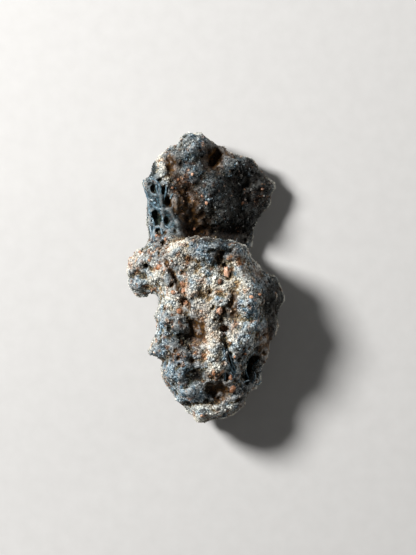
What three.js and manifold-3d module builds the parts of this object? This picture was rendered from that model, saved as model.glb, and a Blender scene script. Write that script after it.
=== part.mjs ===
// A fulgurite: one lump of natural glass and half-melted quartz sand, fused where lightning struck.
//
// It lies on its back. +X is across it, +Y runs along it to the fan-shaped crown, and +Z is up, out of
// its face. Millimetres; the origin is under the middle of its box, on the surface it rests on.
//
// The solid is an implicit body. Each lobe is a pillow that swells inside its own outline, and the lobes
// melt into each other. Mounds and hollows shape each lobe's face, noise roughens all of it, and caves
// and the larger burst bubbles are cut out of it. The back is worn flat where it touches the ground.
import * as THREE from "three";
import Module from "manifold-3d";
import { ImprovedNoise } from "three/addons/math/ImprovedNoise.js";
import { mergeVertices } from "three/addons/utils/BufferGeometryUtils.js";

// ---------------------------------------------------------------- driving dimensions, in millimetres
const GRID = 1.08; // side of a cell of the grid that the skin is drawn on
const ROOM = 2.4; // free space round the outlines, for the roughness
const TOP = 20; // the grid's height above the ground
const WORN = 0.8; // how far the back would reach under the ground before it is worn flat
const MELT = 0.8; // how far one lobe flows into the next
const THIN = 0.8; // the least that a lobe swells above its middle
const CAVE_RIM = 0.25; // how far a cave's rim is rounded
const WARP = [
  { size: 4.6, reach: 0.6 },
  { size: 2.2, reach: 0.3 },
];
const NODULE = { size: 3.1, height: 1.0, level: 0.52 }; // lumps with creases between them, all over the skin
const BACK_LUMP = { size: 6.5, height: 1.3, layer: 7.3 }; // slow lumps on the back
const NOISE_SHIFT = [11.7, 23.1, 41.9]; // keeps the noise of the three directions apart
const OUTLINE_STEPS = 4; // points on an outline between two of its corners
const CLEAR = 0.06; // least depth at a crossing of the grid, so that the skin never runs through one

const SAND_GLASS = { color: 0x8c857a, roughness: 0.85, metalness: 0 };

// ---------------------------------------------------------------- the lobes
// A mound, or a hollow where the rise is negative: its place, its half-widths, its height, and how far
// it is turned, in degrees.
const mound = (x, y, across, along, rise, turn = 0) => ({ x, y, across, along, rise, turn });

// middle: height of the outline over the pivot, and slope its rise along +X and +Y. front, back: how far
// the lobe swells above and below it. round: how far in from the outline it is still rounding over.
const LOBES = [
  {
    name: "crown",
    pivot: [0, 14],
    middle: 5.0,
    slope: [-0.18, 0.13],
    front: 4.0,
    back: 4.4,
    round: 3.0,
    outline: [
      [-11.0, 16.7], [-9.5, 17.7], [-8.9, 19.3], [-8.0, 21.0], [-7.4, 21.7], [-5.5, 22.8],
      [-4.5, 23.1], [-4.3, 24.2], [-3.4, 24.8], [-1.2, 25.5], [0.0, 24.8], [1.0, 23.9],
      [2.0, 23.6], [3.3, 22.5], [4.8, 21.3], [6.1, 21.6], [8.3, 20.8], [9.2, 19.2],
      [11.2, 17.4], [12.6, 16.3], [11.7, 14.8], [11.4, 13.2], [9.3, 10.1], [8.5, 7.2], [7.4, 4.9],
      [5.9, 2.7], [0.7, 1.6], [-4.5, 2.1], [-8.0, 3.9], [-9.6, 6.5], [-9.7, 11.7],
      [-10.1, 14.6],
    ],
    relief: [
      mound(-2.1, 23.3, 1.9, 1.4, 1.2), // knob on the rim
      mound(1.2, 20.6, 1.9, 2.1, -1.8), // bowl under the rim
      mound(-5.6, 19.6, 1.3, 1.7, -2.3), // small bowl at the left
      mound(-7.7, 18.3, 0.9, 2.3, 1.2, -8), // pale ridge beside it
      mound(-2.0, 17.9, 1.6, 1.3, 1.2),
      mound(4.9, 19.9, 1.4, 1.3, 1.3),
      mound(7.6, 18.6, 1.2, 1.0, 0.9),
      mound(1.2, 15.0, 2.5, 2.6, 2.2), // broad dome
      mound(3.0, 11.2, 1.6, 1.7, 1.2),
      mound(7.4, 11.7, 1.3, 1.7, 0.8),
      mound(6.6, 15.8, 1.1, 3.2, -1.4, -5), // fold down the right side
      mound(10.6, 13.6, 4.4, 8.0, -2.6), // the right side falls away
      mound(-3.0, 14.5, 1.0, 1.6, -1.0),
      mound(-1.7, 10.6, 1.7, 4.2, -0.7, 8), // trough beside the web
      mound(-4.9, 13.2, 0.7, 2.1, 1.1, 18), // rib between web and trough
      mound(5.4, 7.8, 5.6, 2.3, -3.2), // crevice under the ledge
    ],
  },
  {
    name: "web",
    pivot: [-8.0, 11.0],
    middle: 7.3,
    slope: [0.05, -0.42],
    front: 2.1,
    back: 5.6,
    round: 1.5,
    outline: [
      [-11.2, 16.8], [-9.7, 17.5], [-7.6, 16.6], [-7.0, 14.0], [-6.8, 12.2], [-5.5, 11.0],
      [-4.4, 9.8], [-4.1, 8.2], [-2.9, 6.7], [-2.6, 3.6], [-9.8, 3.4], [-9.5, 8.0],
      [-9.8, 9.9], [-9.7, 13.4], [-10.3, 15.2],
    ],
    relief: [
      mound(-8.3, 13.6, 1.2, 1.5, -0.6), // smooth glass pane
      mound(-5.6, 9.8, 0.6, 2.4, 0.6, 32), // bar along the trough
      mound(-9.8, 12.0, 0.5, 4.5, 0.5), // raised outer edge
    ],
  },
  {
    name: "trunk",
    pivot: [1.0, -4.0],
    middle: 7.8,
    slope: [-0.08, 0.12],
    front: 7.0,
    back: 8.2,
    round: 3.8,
    outline: [
      [-9.8, 4.6], [-9.8, 2.0], [-9.0, -0.6], [-7.9, -2.7], [-8.0, -5.0], [-8.9, -5.9],
      [-8.7, -7.4], [-8.0, -8.5], [-8.2, -10.4], [-9.6, -12.2], [-9.6, -13.1], [-8.4, -13.5], [-7.0, -14.0],
      [-7.3, -15.7], [-7.2, -17.5], [-5.5, -19.5], [-4.6, -21.3], [-3.0, -23.2], [-1.8, -22.6],
      [1.2, -21.2], [3.6, -21.2], [6.0, -20.8], [7.2, -18.6], [8.4, -14.0], [9.8, -10.2],
      [10.8, -5.6], [10.6, -1.2], [9.6, 0.9], [8.0, 3.2], [6.5, 5.2], [4.3, 6.4],
      [2.4, 6.9], [0.6, 6.5], [-1.4, 7.0], [-3.2, 6.6], [-5.6, 6.4], [-7.6, 5.9],
    ],
    relief: [
      mound(-1.6, 5.3, 1.6, 1.2, 1.2), // lumps along the crest
      mound(2.3, 5.6, 1.4, 1.0, 1.0),
      mound(0.3, 6.1, 0.5, 0.9, -0.8), // notch between them
      mound(5.9, 4.4, 1.0, 0.9, 0.5),
      mound(2.2, 3.0, 1.8, 1.5, 0.9), // swell behind the crest
      mound(6.1, 0.9, 0.9, 2.6, 1.1, 31), // granular ridge
      mound(8.9, 0.6, 0.6, 2.1, -1.8, 35), // gully beside it
      mound(-1.0, 0.4, 2.8, 2.1, 0.8), // pale dome
      mound(-4.6, 4.4, 1.4, 1.2, 0.8),
      mound(8.2, -1.4, 1.0, 1.2, 1.3), // lumps down the right flank
      mound(9.3, -4.9, 0.9, 1.2, 1.2),
      mound(9.6, -7.6, 0.9, 0.9, 1.0),
      mound(8.3, -11.2, 0.9, 1.1, 1.0),
      mound(-8.3, 4.2, 0.4, 1.4, -1.0, 5), // crevice in the glass
      mound(-6.8, 2.0, 0.7, 1.6, -1.2, 25), // chain of pits
      mound(-5.2, -1.2, 0.9, 1.6, -1.3, 25),
      mound(-3.6, -3.9, 1.0, 1.2, -1.4),
      mound(-4.7, -5.9, 0.9, 0.7, -0.9),
      mound(-1.7, -2.6, 0.9, 2.4, 0.8, 15), // ridge on its right
      mound(-6.6, -2.6, 1.2, 1.6, 0.8),
      mound(-3.3, -9.0, 2.3, 2.7, -2.6, 10), // large hollow
      mound(-1.4, -11.0, 1.2, 1.6, -1.0),
      mound(-6.9, -7.1, 1.4, 1.6, 1.4), // lumps down the left side
      mound(-8.3, -12.4, 1.0, 0.7, 0.6),
      mound(-5.4, -11.9, 1.4, 1.2, 0.7),
      mound(-5.9, -15.4, 1.5, 1.2, 1.5),
      mound(-6.2, -9.9, 1.1, 0.9, 0.9),
      mound(-4.2, -17.3, 1.1, 0.9, 1.1),
      mound(-3.5, -14.4, 1.0, 1.0, 0.6),
      mound(-1.6, -17.1, 1.4, 1.0, -1.7), // lower hollow
      mound(-2.1, -19.9, 1.7, 1.0, 1.0),
      mound(-5.0, -19.9, 1.0, 1.0, 0.5),
      mound(0.7, -6.0, 1.0, 2.4, 0.8), // pale spine
      mound(1.2, -12.6, 1.2, 2.3, 1.4, -4),
      mound(1.7, -15.9, 1.0, 1.0, 0.8),
      mound(4.6, -4.7, 0.6, 1.7, -1.8), // upright slot
      mound(2.8, -3.8, 1.0, 0.8, 1.1), // bump beside it
      mound(2.3, -5.7, 0.8, 0.8, -0.3), // socket of a large grain
      mound(7.1, -3.9, 1.2, 1.7, 1.2), // lumps down the right side
      mound(8.5, -8.5, 1.4, 1.2, 0.9),
      mound(6.4, -11.8, 1.4, 1.6, 1.0),
      mound(3.3, -8.8, 0.9, 0.7, -1.1), // head of the long crack
      mound(3.8, -12.3, 0.5, 2.1, -1.6, 20), // the crack
      mound(4.9, -16.4, 0.5, 1.9, -1.4, 8),
      mound(6.1, -15.1, 0.7, 1.9, 0.7, 12),
      mound(2.8, -17.5, 1.6, 0.7, -0.7),
      mound(4.3, -19.6, 0.9, 0.9, -1.4),
    ],
  },
  {
    name: "knob",
    pivot: [-9.0, 1.0],
    middle: 8.2,
    slope: [0.12, 0.05],
    front: 3.4,
    back: 4.2,
    round: 2.2,
    outline: [
      [-9.6, 6.2], [-10.4, 5.5], [-11.8, 5.0], [-12.9, 3.8], [-13.4, 2.3], [-13.5, 1.2],
      [-12.9, 0.2], [-13.3, -1.0], [-13.3, -2.7], [-12.0, -2.5], [-11.2, -4.1], [-10.1, -2.6],
      [-8.9, -2.2], [-7.6, -3.2], [-5.6, -2.0], [-5.4, 3.0], [-7.4, 6.0],
    ],
    relief: [
      mound(-11.4, 2.9, 1.4, 1.3, 0.9), // bulb
      mound(-8.9, -0.3, 2.0, 0.8, 0.9, 20), // nose
      mound(-11.9, 0.1, 1.6, 0.8, -2.0, 25), // crease between them
      mound(-12.2, -1.9, 0.9, 0.9, 0.7),
      mound(-10.4, -2.2, 0.8, 1.0, -1.0),
    ],
  },
  {
    name: "shoulder",
    pivot: [10.0, -4.0],
    middle: 5.6,
    slope: [-0.15, 0],
    front: 4.0,
    back: 4.2,
    round: 2.4,
    outline: [
      [7.0, 1.6], [8.9, 2.1], [9.8, 0.8], [11.0, 0.7], [11.8, 0.2], [12.9, -1.0],
      [13.2, -2.4], [13.7, -4.1], [12.8, -5.2], [12.8, -7.1], [13.0, -9.5], [12.3, -10.3],
      [10.9, -9.9], [8.0, -9.6], [6.6, -4.0],
    ],
    relief: [
      mound(10.6, -0.6, 1.1, 1.0, 1.4),
      mound(11.9, -3.2, 0.9, 1.0, 1.1),
      mound(11.6, -6.6, 1.0, 1.2, 1.0),
    ],
  },
  {
    name: "wing",
    pivot: [9.0, -14.0],
    middle: 5.4,
    slope: [-0.1, 0],
    front: 3.4,
    back: 3.6,
    round: 1.8,
    outline: [
      [7.2, -8.8], [10.0, -8.6], [11.2, -9.9], [11.1, -11.2], [10.8, -13.0], [10.6, -14.4],
      [10.1, -15.7], [9.9, -17.5], [9.9, -19.0], [7.6, -18.9], [5.0, -18.4], [4.6, -13.0],
    ],
    relief: [
      mound(10.3, -12.2, 0.7, 2.2, 0.6, -12), // pale rib up the edge
      mound(8.0, -15.4, 1.5, 2.2, -1.8), // vesicular hollow
    ],
  },
  {
    name: "lip",
    pivot: [2.0, -22.0],
    middle: 7.2,
    slope: [-0.14, 0.1],
    front: 3.2,
    back: 5.6,
    round: 1.3,
    outline: [
      [-2.4, -22.1], [-2.2, -23.3], [-1.5, -24.7], [-0.7, -25.6], [0.2, -25.3], [0.9, -24.8],
      [2.6, -24.7], [4.2, -24.0], [5.2, -23.3], [6.3, -22.3], [7.0, -22.0], [7.2, -20.6],
      [7.3, -18.8], [5.9, -17.6], [2.4, -17.0], [-1.4, -18.6],
    ],
    relief: [mound(-0.4, -23.4, 1.4, 1.2, 1.5), mound(3.2, -22.9, 2.4, 0.8, 1.2, 22)],
  },
];

// The trunk's top end leans out over the crown: its crest is raised, and rounds over in a short way.
const LEDGE = { from: 1.8, to: 5.6, lift: 2.2, round: 1.2, left: -5.0, blend: 2.0 };

// Caves: where the skin turns under itself. Centre, half-sizes, and turn about +Z in degrees.
const cave = (x, y, z, across, along, up, turn = 0) => ({ x, y, z, across, along, up, turn });
const CAVES = [
  cave(1.9, 7.7, 8.8, 5.6, 2.0, 2.6, -4), // crevice under the crest
  cave(-2.0, 8.0, 8.4, 1.4, 1.3, 1.6, 10), // foot of the trough
  cave(1.2, 20.6, 9.8, 1.6, 1.9, 2.8), // deep bowl under the crown's rim
  cave(2.8, 3.2, 15.6, 1.2, 0.5, 1.1, -35), // dark hollow behind the crest
  cave(2.0, -19.5, 10.6, 2.6, 1.0, 1.8, -14), // mouth over the lip
  cave(1.2, -21.1, 9.6, 3.4, 0.6, 2.0, 4), // slot between the trunk and the lip
  cave(8.0, -15.3, 7.6, 1.1, 1.9, 1.9, -8), // hollow in the wing
];

// Burst bubbles, cut into the face: place, half-width, half-length, depth, and turn in degrees.
const bubble = (x, y, across, along, depth, turn = 0) => ({ x, y, across, along, depth, turn });
const BUBBLES = [
  bubble(-8.9, 15.5, 0.85, 0.75, 0.9),
  bubble(-6.4, 13.1, 0.6, 1.5, 1.3, 12),
  bubble(-8.5, 10.7, 0.75, 1.25, 1.3, 20),
  bubble(-9.1, 8.7, 0.5, 0.75, 0.8, 25),
  bubble(-6.8, 9.9, 0.55, 0.85, 0.8, 10),
  bubble(-10.2, 2.2, 0.9, 0.75, 0.8, 30),
  bubble(-3.4, -4.1, 0.9, 0.9, 0.9),
  bubble(-4.2, -1.2, 0.6, 0.8, 0.7, 30),
  bubble(3.4, -8.9, 1.1, 0.85, 1.0, -20),
  bubble(-2.2, -14.4, 0.6, 0.5, 0.7),
  bubble(7.4, -16.4, 0.9, 1.1, 1.2),
  bubble(8.2, -14.2, 0.9, 0.75, 1.0),
];
const BUBBLE_RAGGED = { share: 0.6, size: 0.5 }; // raggedness of a bubble's wall, in half-widths
const BUBBLE_SINK = 0.15; // how far a bubble's centre lies under the skin, as a share of its depth
const SEEK = 0.1; // step of the search for the skin
const WELD = 1e-4; // corners nearer than this are one

// ---------------------------------------------------------------- numbers and noise
const noise = new ImprovedNoise();
const { clamp, degToRad, lerp, smoothstep } = THREE.MathUtils;

// A number from 0 to 1 that depends only on the three whole numbers and the salt.
function hash(i, j, k, salt) {
  const mixed = Math.sin(i * 127.1 + j * 311.7 + k * 74.7 + salt * 53.3) * 43758.5453;
  return mixed - Math.floor(mixed);
}

// Distance to the nearest of a set of scattered points, one in each unit cell.
function nearestPoint(x, y, z) {
  const [cx, cy, cz] = [Math.floor(x), Math.floor(y), Math.floor(z)];
  let best = Infinity;
  for (let i = cx - 1; i <= cx + 1; i++)
    for (let j = cy - 1; j <= cy + 1; j++)
      for (let k = cz - 1; k <= cz + 1; k++) {
        const [px, py, pz] = [i + hash(i, j, k, 1), j + hash(i, j, k, 2), k + hash(i, j, k, 3)];
        best = Math.min(best, Math.hypot(px - x, py - y, pz - z));
      }
  return best;
}

// The larger of two values, with the corner between them filled over the given width.
function softMax(a, b, width) {
  const near = clamp(0.5 + (0.5 * (a - b)) / width, 0, 1);
  return b + (a - b) * near + width * near * (1 - near);
}

// A point as seen by a shape that is turned about +Z and scaled: its offsets in half-widths.
function within({ x, y, across, along, turn }, px, py) {
  const [c, s] = [Math.cos(degToRad(turn)), Math.sin(degToRad(turn))];
  return [((px - x) * c + (py - y) * s) / across, ((py - y) * c - (px - x) * s) / along];
}

// ---------------------------------------------------------------- outlines, relief and depth
// Signed distance from a point to a closed polygon, positive inside.
function insideBy(polygon, x, y) {
  let nearest = Infinity;
  let inside = false;
  for (let i = 0, j = polygon.length - 1; i < polygon.length; j = i++) {
    const [a, b] = [polygon[j], polygon[i]];
    const [ex, ey] = [b.x - a.x, b.y - a.y];
    const along = clamp(((x - a.x) * ex + (y - a.y) * ey) / (ex * ex + ey * ey), 0, 1);
    nearest = Math.min(nearest, Math.hypot(x - a.x - along * ex, y - a.y - along * ey));
    if (a.y > y !== b.y > y && x < a.x + ((y - a.y) / ey) * ex) inside = !inside;
  }
  return inside ? nearest : -nearest;
}

// A rounded polygon through the corners of an outline.
function roundedOutline(corners) {
  const places = corners.map(([x, y]) => new THREE.Vector3(x, y, 0));
  const curve = new THREE.CatmullRomCurve3(places, true, "centripetal");
  return curve.getPoints(corners.length * OUTLINE_STEPS).slice(0, -1);
}

for (const lobe of LOBES) lobe.edge = roundedOutline(lobe.outline);

function reliefAt(mounds, x, y) {
  let height = 0;
  for (const m of mounds) {
    const [u, v] = within(m, x, y);
    height += m.rise * Math.exp(-u * u - v * v);
  }
  return height;
}

// How far a place on the trunk belongs to its raised crest, from 0 to 1.
function crestShare(x, y) {
  return smoothstep(y, LEDGE.from, LEDGE.to) * smoothstep(x, LEDGE.left - LEDGE.blend, LEDGE.left);
}

// How deep a point lies within a lobe, negative outside it. The outline is met at the warped point.
function lobeDepth(lobe, x, y, z, [wx, wy, wz]) {
  const { pivot, slope, relief, edge } = lobe;
  const crest = lobe.name === "trunk" ? crestShare(x, y) : 0;
  const round = lerp(lobe.round, LEDGE.round, crest);
  const middle = lobe.middle + slope[0] * (x - pivot[0]) + slope[1] * (y - pivot[1]) + LEDGE.lift * crest;
  const front = Math.max(THIN, lobe.front - LEDGE.lift * crest + reliefAt(relief, x, y));
  const lump = noise.noise(x / BACK_LUMP.size, y / BACK_LUMP.size, BACK_LUMP.layer);
  const back = lobe.back + BACK_LUMP.height * lump;
  const inward = 1 - Math.min(insideBy(edge, wx, wy) / round, 1);
  const upward = (wz - middle) / (wz > middle ? front : back);
  return Math.min(round, lobe.front) * (1 - Math.hypot(inward, upward));
}

// How deep a point lies within a cave, negative outside it.
function caveDepth(c, x, y, z) {
  const [u, v] = within(c, x, y);
  return Math.min(c.across, c.along, c.up) * (1 - Math.hypot(u, v, (z - c.z) / c.up));
}

// How deep a point lies within the whole body: positive inside, negative outside.
function depthAt(x, y, z) {
  let [wx, wy, wz] = [x, y, z];
  for (const { size, reach } of WARP) {
    wx += reach * noise.noise(x / size, y / size, z / size + NOISE_SHIFT[0]);
    wy += reach * noise.noise(x / size, y / size + NOISE_SHIFT[1], z / size);
    wz += reach * noise.noise(x / size + NOISE_SHIFT[2], y / size, z / size);
  }
  let depth = -Infinity;
  for (const lobe of LOBES) {
    const here = lobeDepth(lobe, x, y, z, [wx, wy, wz]);
    depth = depth === -Infinity ? here : softMax(depth, here, MELT);
  }
  for (const c of CAVES) depth = -softMax(-depth, caveDepth(c, x, y, z), CAVE_RIM);
  const crease = nearestPoint(x / NODULE.size, y / NODULE.size, z / NODULE.size);
  return Math.min(depth + NODULE.height * (NODULE.level - crease), z + WORN);
}

// ---------------------------------------------------------------- from depths to a skin
// A grid face whose corners alternate between inside and outside would pinch the skin to a line, so its
// outside corner that is nearest the skin is taken inside, until no such face is left.
function settleSaddles(values, count, stride) {
  for (let again = true; again; ) {
    again = false;
    for (let k = 0; k < count[2] - 1; k++)
      for (let j = 0; j < count[1] - 1; j++)
        for (let i = 0; i < count[0] - 1; i++) {
          const here = i + j * stride[1] + k * stride[2];
          for (let axis = 0; axis < 3; axis++) {
            const [u, v] = [stride[axis], stride[(axis + 1) % 3]];
            const ring = [here, here + u, here + u + v, here + v];
            const [a, b, c, d] = ring.map((n) => values[n] > 0);
            if (a !== c || b !== d || a === b) continue;
            const outside = ring.filter((n) => values[n] <= 0);
            const weakest = outside.reduce((m, n) => (values[n] > values[m] ? n : m));
            values[weakest] = -values[weakest];
            again = true;
          }
        }
  }
}

function clearOfZero(depth) {
  return depth > 0 ? Math.max(depth, CLEAR) : Math.min(depth, -CLEAR);
}

// The depth at each crossing of a grid that fills the box from low to high.
function sampleGrid(depth, low, high, step) {
  const count = [0, 1, 2].map((axis) => Math.ceil((high[axis] - low[axis]) / step) + 1);
  const stride = [1, count[0], count[0] * count[1]];
  const values = new Float64Array(count[0] * count[1] * count[2]);
  for (let k = 0, n = 0; k < count[2]; k++)
    for (let j = 0; j < count[1]; j++)
      for (let i = 0; i < count[0]; i++, n++)
        values[n] = clearOfZero(depth(low[0] + i * step, low[1] + j * step, low[2] + k * step));
  settleSaddles(values, count, stride);
  return { count, stride, values };
}

const CELL_CORNERS = [0, 1, 2, 3, 4, 5, 6, 7].map((c) => [c & 1, (c >> 1) & 1, c >> 2]);

// The middle of the places where the skin crosses a cell's edges, in steps from its first corner, or
// null where the skin doesn't cross it.
function crossingIn({ stride, values }, cell) {
  const sum = [0, 0, 0];
  let crossings = 0;
  for (let a = 0; a < 8; a++)
    for (const bit of [1, 2, 4]) {
      if (a & bit) continue;
      const [p, q] = [CELL_CORNERS[a], CELL_CORNERS[a | bit]];
      const [inP, inQ] = [p, q].map((c) => values[cell + c[0] + c[1] * stride[1] + c[2] * stride[2]]);
      if (inP > 0 === inQ > 0) continue;
      const t = inP / (inP - inQ);
      for (let axis = 0; axis < 3; axis++) sum[axis] += p[axis] + t * (q[axis] - p[axis]);
      crossings++;
    }
  return crossings ? sum.map((s) => s / crossings) : null;
}

// Distance between two numbered points.
function apart(points, a, b) {
  return Math.hypot(...[0, 1, 2].map((axis) => points[3 * a + axis] - points[3 * b + axis]));
}

// Draws the skin where the depth is zero: one point in each grid cell that the skin crosses, and one
// four-sided face across each grid edge that it crosses.
function skinOf(depth, low, high, step) {
  const grid = sampleGrid(depth, low, high, step);
  const { count, stride, values } = grid;
  const points = [];
  const pointOf = new Map();
  const faces = [];
  for (let k = 0; k < count[2] - 1; k++)
    for (let j = 0; j < count[1] - 1; j++)
      for (let i = 0; i < count[0] - 1; i++) {
        const cell = i + j * stride[1] + k * stride[2];
        const place = crossingIn(grid, cell);
        if (!place) continue;
        pointOf.set(cell, points.length / 3);
        points.push(...[i, j, k].map((n, axis) => low[axis] + (n + place[axis]) * step));
      }
  for (let k = 1; k < count[2] - 1; k++)
    for (let j = 1; j < count[1] - 1; j++)
      for (let i = 1; i < count[0] - 1; i++) {
        const cell = i + j * stride[1] + k * stride[2];
        const here = values[cell] > 0;
        for (let axis = 0; axis < 3; axis++) {
          if (here === values[cell + stride[axis]] > 0) continue;
          const [u, v] = [stride[(axis + 1) % 3], stride[(axis + 2) % 3]];
          const ring = [cell, cell - u, cell - u - v, cell - v].map((c) => pointOf.get(c));
          if (!here) ring.reverse();
          if (apart(points, ring[0], ring[2]) > apart(points, ring[1], ring[3])) ring.push(ring.shift());
          faces.push(ring[0], ring[1], ring[2], ring[0], ring[2], ring[3]);
        }
      }
  return new THREE.BufferGeometry()
    .setAttribute("position", new THREE.Float32BufferAttribute(points, 3))
    .setIndex(faces);
}

// ---------------------------------------------------------------- cutting
const wasm = await Module();
wasm.setup();

function solidOf(geometry) {
  const bare = new THREE.BufferGeometry().setAttribute("position", geometry.getAttribute("position"));
  const merged = mergeVertices(bare.setIndex(geometry.index), WELD);
  const vertProperties = merged.attributes.position.array;
  const triVerts = new Uint32Array(merged.index.array);
  return new wasm.Manifold(new wasm.Mesh({ numProp: 3, vertProperties, triVerts }));
}

function geometryOf(solid) {
  const { vertProperties, triVerts } = solid.getMesh();
  return new THREE.BufferGeometry()
    .setAttribute("position", new THREE.BufferAttribute(vertProperties, 3))
    .setIndex(new THREE.BufferAttribute(triVerts, 1));
}

// Height of the skin as seen from above.
function skinHeight(x, y) {
  let z = TOP;
  while (z > 0 && depthAt(x, y, z) < 0) z -= SEEK;
  return z;
}

// A bubble is a ball with a ragged wall, squashed to its sizes.
function bubbleShape({ x, y, across, along, depth, turn }) {
  const ball = new THREE.IcosahedronGeometry(1, 1);
  const { position } = ball.attributes;
  const corner = new THREE.Vector3();
  for (let i = 0; i < position.count; i++) {
    corner.fromBufferAttribute(position, i);
    const at = corner.clone().divideScalar(BUBBLE_RAGGED.size);
    const swell = BUBBLE_RAGGED.share * noise.noise(x + at.x, y + at.y, at.z);
    position.setXYZ(i, ...corner.multiplyScalar(1 + swell));
  }
  return ball
    .scale(across, along, depth)
    .rotateZ(degToRad(turn))
    .translate(x, y, skinHeight(x, y) - BUBBLE_SINK * depth);
}

// The block of ground under the resting surface.
function groundShape(low, high) {
  const thickness = 3 * WORN;
  return new THREE.BoxGeometry(high[0] - low[0], high[1] - low[1], thickness).translate(0, 0, -thickness / 2);
}

// ---------------------------------------------------------------- the fulgurite
function fulguriteGeometry() {
  const edges = LOBES.flatMap((lobe) => lobe.edge);
  const [xs, ys] = [edges.map((p) => p.x), edges.map((p) => p.y)];
  const low = [Math.min(...xs) - ROOM, Math.min(...ys) - ROOM, -WORN - 2 * GRID];
  const high = [Math.max(...xs) + ROOM, Math.max(...ys) + ROOM, TOP];
  let body = solidOf(skinOf(depthAt, low, high, GRID));
  for (const b of BUBBLES) body = body.subtract(solidOf(bubbleShape(b)));
  body = body.subtract(solidOf(groundShape(low, high)));
  const [whole] = body.decompose().sort((a, b) => b.volume() - a.volume());
  const geometry = geometryOf(whole);
  geometry.computeBoundingBox();
  const { min, max } = geometry.boundingBox;
  return geometry.translate(-(min.x + max.x) / 2, -(min.y + max.y) / 2, -min.z);
}

const fulgurite = new THREE.Mesh(fulguriteGeometry(), new THREE.MeshStandardMaterial(SAND_GLASS));
fulgurite.name = "fulgurite";

const part = new THREE.Group();
part.add(fulgurite);
export default part;
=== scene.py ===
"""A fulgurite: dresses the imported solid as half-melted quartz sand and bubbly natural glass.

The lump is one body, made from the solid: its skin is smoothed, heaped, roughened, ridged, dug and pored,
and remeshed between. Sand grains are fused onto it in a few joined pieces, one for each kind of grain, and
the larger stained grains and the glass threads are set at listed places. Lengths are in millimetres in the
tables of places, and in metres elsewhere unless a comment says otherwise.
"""

import math

import bpy
import numpy as np
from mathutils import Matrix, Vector, noise
from mathutils.bvhtree import BVHTree


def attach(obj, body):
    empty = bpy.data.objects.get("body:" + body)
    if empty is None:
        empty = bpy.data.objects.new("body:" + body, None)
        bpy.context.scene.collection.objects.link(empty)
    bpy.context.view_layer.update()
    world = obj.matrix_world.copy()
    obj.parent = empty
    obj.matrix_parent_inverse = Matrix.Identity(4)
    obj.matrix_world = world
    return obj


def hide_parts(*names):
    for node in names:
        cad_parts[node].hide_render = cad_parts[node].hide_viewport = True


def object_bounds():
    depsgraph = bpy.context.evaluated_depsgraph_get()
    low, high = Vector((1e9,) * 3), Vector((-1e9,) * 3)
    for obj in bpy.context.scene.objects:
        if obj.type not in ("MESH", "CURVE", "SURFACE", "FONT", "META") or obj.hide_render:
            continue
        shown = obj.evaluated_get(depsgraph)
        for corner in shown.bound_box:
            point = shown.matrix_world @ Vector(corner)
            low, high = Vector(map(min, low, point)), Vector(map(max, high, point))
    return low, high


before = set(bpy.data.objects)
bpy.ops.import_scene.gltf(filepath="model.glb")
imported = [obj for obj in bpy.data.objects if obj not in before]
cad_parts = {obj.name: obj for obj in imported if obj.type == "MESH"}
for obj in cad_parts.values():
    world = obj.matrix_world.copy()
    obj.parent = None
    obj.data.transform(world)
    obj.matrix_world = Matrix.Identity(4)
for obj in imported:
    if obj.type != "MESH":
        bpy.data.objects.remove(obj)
CAD_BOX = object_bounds()

MM = 0.001
BODY = "root"
NODE = "fulgurite"

# The view: straight down on the face, from far enough away to be nearly parallel.
VIEW_HEIGHT = 96.35 * MM
VIEW_CENTRE = (0.39 * MM, -0.04 * MM)
CAMERA_HEIGHT = 0.6
SENSOR_HEIGHT = 24.0  # in millimetres, as Blender's lens lengths are
FLOOR_SIZE = 1.2
LAMP_DISTANCE = 0.5
SKY = 0.08  # strength of the light from all round

# The lump's skin.
ROUGH_VOXEL = 0.32 * MM
FINE_VOXEL = 0.24 * MM
RESTING_BAND = (0.1 * MM, 1.0 * MM)  # relief starts at the first height and is full at the second
BARE_BAND = (0.3 * MM, 0.9 * MM)  # the same for the grains
HEADROOM = 0.1 * MM  # how far under the solid's highest place the raised lumps end
OVERHANG = (0.12 * MM, 0.12 * MM, 0.0)  # how far grains may stand outside the solid's box

# The skin's own relief: how wide each kind is and how far it stands out, in millimetres.
LUMP_WIDTH, LUMP_RISE = 2.1, 0.6
FOLD_WIDTH, FOLD_RISE = 2.6, 0.3
NUB_WIDTH, NUB_RISE = 1.0, 0.28
GRIT_WIDTH, GRIT_RISE = 0.6, 0.18
LUMP_LEVEL, NUB_LEVEL = 0.45, 0.4  # the heights of nodules that leave the skin where it is

# Pores.
PORES = 420
PORE_RADII = (0.22, 0.5)  # the least and the most, in millimetres
PORE_DEPTH = 1.2  # in radii

# How hollows and swells are told from the skin: rounds of smoothing, and depths that count as deep.
FINE_ROUNDS, BROAD_ROUNDS = 8, 60
FINE_DEPTH, BROAD_DEPTH = 0.16 * MM, 0.6 * MM
RIDGE_HEIGHT, SWELL_HEIGHT = 0.1 * MM, 0.5 * MM

# The sand grains. Shapes are in radii.
GRAIN_RADIUS, BEAD_RADIUS = 0.15 * MM, 0.13 * MM
RADIUS_SPREAD = (-0.1, 0.3)  # mean and deviation of the logarithm of a grain's size
GRAIN_SHAPES = 6
CORNER_REACH = (0.7, 1.15)
GRAIN_THICKNESS, GRAIN_WIDTH = (0.75, 0.95), (0.85, 1.1)
GRAIN_RISE = -0.2  # how far a grain's middle stands out of the skin
CLEAN_SHARE, CLEAN_SOOT_AND_SHADE = 0.2, 0.2  # the share of grains that are cleaner, and how much of the soot and painted shadow those keep
PEBBLE_HEIGHT = 0.75  # a stained grain's half-height, in its smaller half-width
PEBBLE_RISE = 0.3  # how far its middle stands out of the skin, in half-heights

# The glass threads. Swell and sink are in radii.
THREAD_SWELL = (0.75, 1.35)
THREAD_SINK = 0.6


# ------------------------------------------------------------------------------ places on the face
def patch(x, y, across, along, strength, turn=0.0):
    """A soft-edged place, in millimetres, its long side turned in degrees from straight up."""
    return x * MM, y * MM, across * MM, along * MM, strength, math.radians(turn)


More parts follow.
